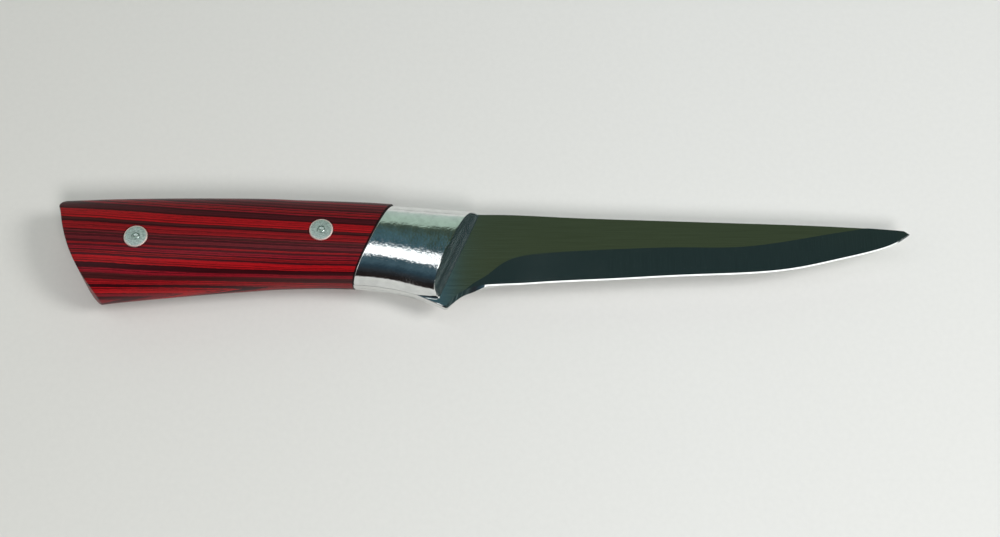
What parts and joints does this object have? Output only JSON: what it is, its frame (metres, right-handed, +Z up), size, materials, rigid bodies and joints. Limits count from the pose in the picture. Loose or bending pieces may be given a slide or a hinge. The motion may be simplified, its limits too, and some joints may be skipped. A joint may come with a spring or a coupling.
{
  "type": "fillet knife",
  "caption": "Boning and fillet knife with a narrow full-length steel blade, a polished bolster and a striped red wood grip held by two headed rivets.",
  "frame": {"origin": "centre of the knife's bounding box in X and Y, on the surface that the knife lies on", "axes": "+X from the butt of the grip to the tip of the blade, +Y from the cutting edge to the spine, +Z up through the left flank of the grip; the knife lies on its right flank"},
  "size_m": [0.2482, 0.0349, 0.0166],
  "materials": {
    "blade_steel": "fine polished flat, with a ground bevel and a bright honed edge",
    "bolster_steel": "mirror polished",
    "striped_wood": "resin-soaked laminated veneer in red, crimson and near black, satin gloss",
    "rivet_metal": "satin, with a bright rim"
  },
  "bodies": {
    "root": {"blade": "blade_steel", "bolster_left": "bolster_steel", "bolster_right": "bolster_steel", "scale_left": "striped_wood", "scale_right": "striped_wood", "rear_rivet_sleeve": "rivet_metal", "rear_rivet_pin": "rivet_metal", "front_rivet_sleeve": "rivet_metal", "front_rivet_pin": "rivet_metal"}
  },
  "joints": []
}
